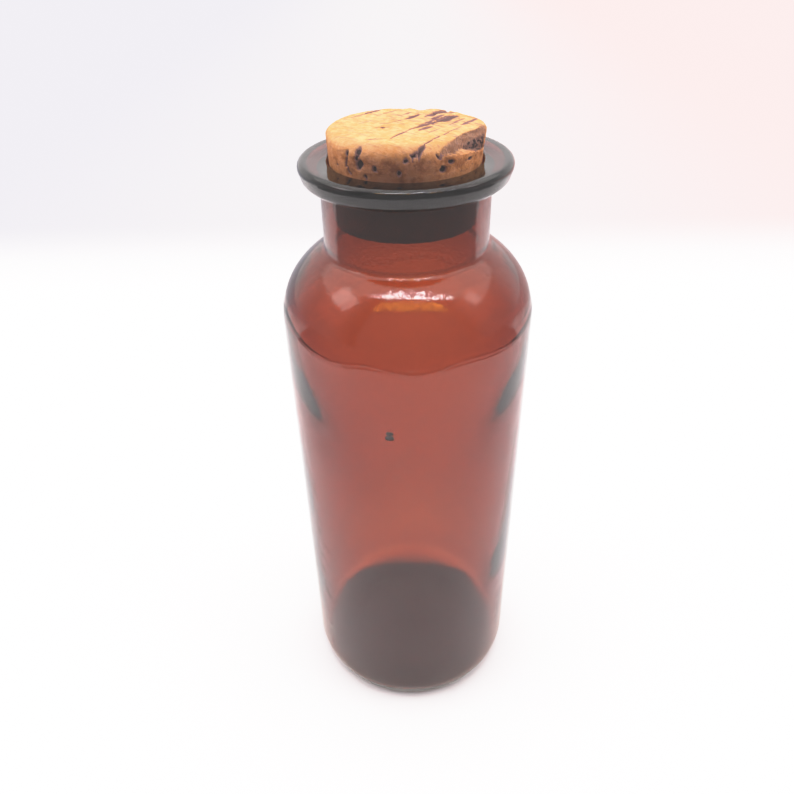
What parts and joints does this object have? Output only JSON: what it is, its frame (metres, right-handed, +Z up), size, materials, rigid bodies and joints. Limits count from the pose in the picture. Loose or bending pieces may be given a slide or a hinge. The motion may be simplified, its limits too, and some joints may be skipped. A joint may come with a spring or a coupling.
{
  "type": "glass bottle",
  "caption": "Wide-mouth amber glass bottle with round shoulder, short neck and flat collar lip, closed by a tapered natural cork that pulls straight up.",
  "frame": {"origin": "centre of the bottle's base, on the surface that it stands on", "axes": "+Z up along the bottle's axis; -Y towards the picture's camera; +X to the picture's right"},
  "size_m": [0.064, 0.064, 0.1738],
  "materials": {
    "amber_glass": "clear amber, fire-polished, slightly wavy",
    "natural_cork": "dry natural cork with dark streaks and pits"
  },
  "bodies": {
    "bottle": {"bottle": "amber_glass"},
    "cork": {"cork_stopper": "natural_cork"}
  },
  "joints": [
    {"name": "cork_pull", "type": "slide", "parent": "bottle", "child": "cork", "axis": [0, 0, 1], "range_m": [0, 0.09]}
  ]
}
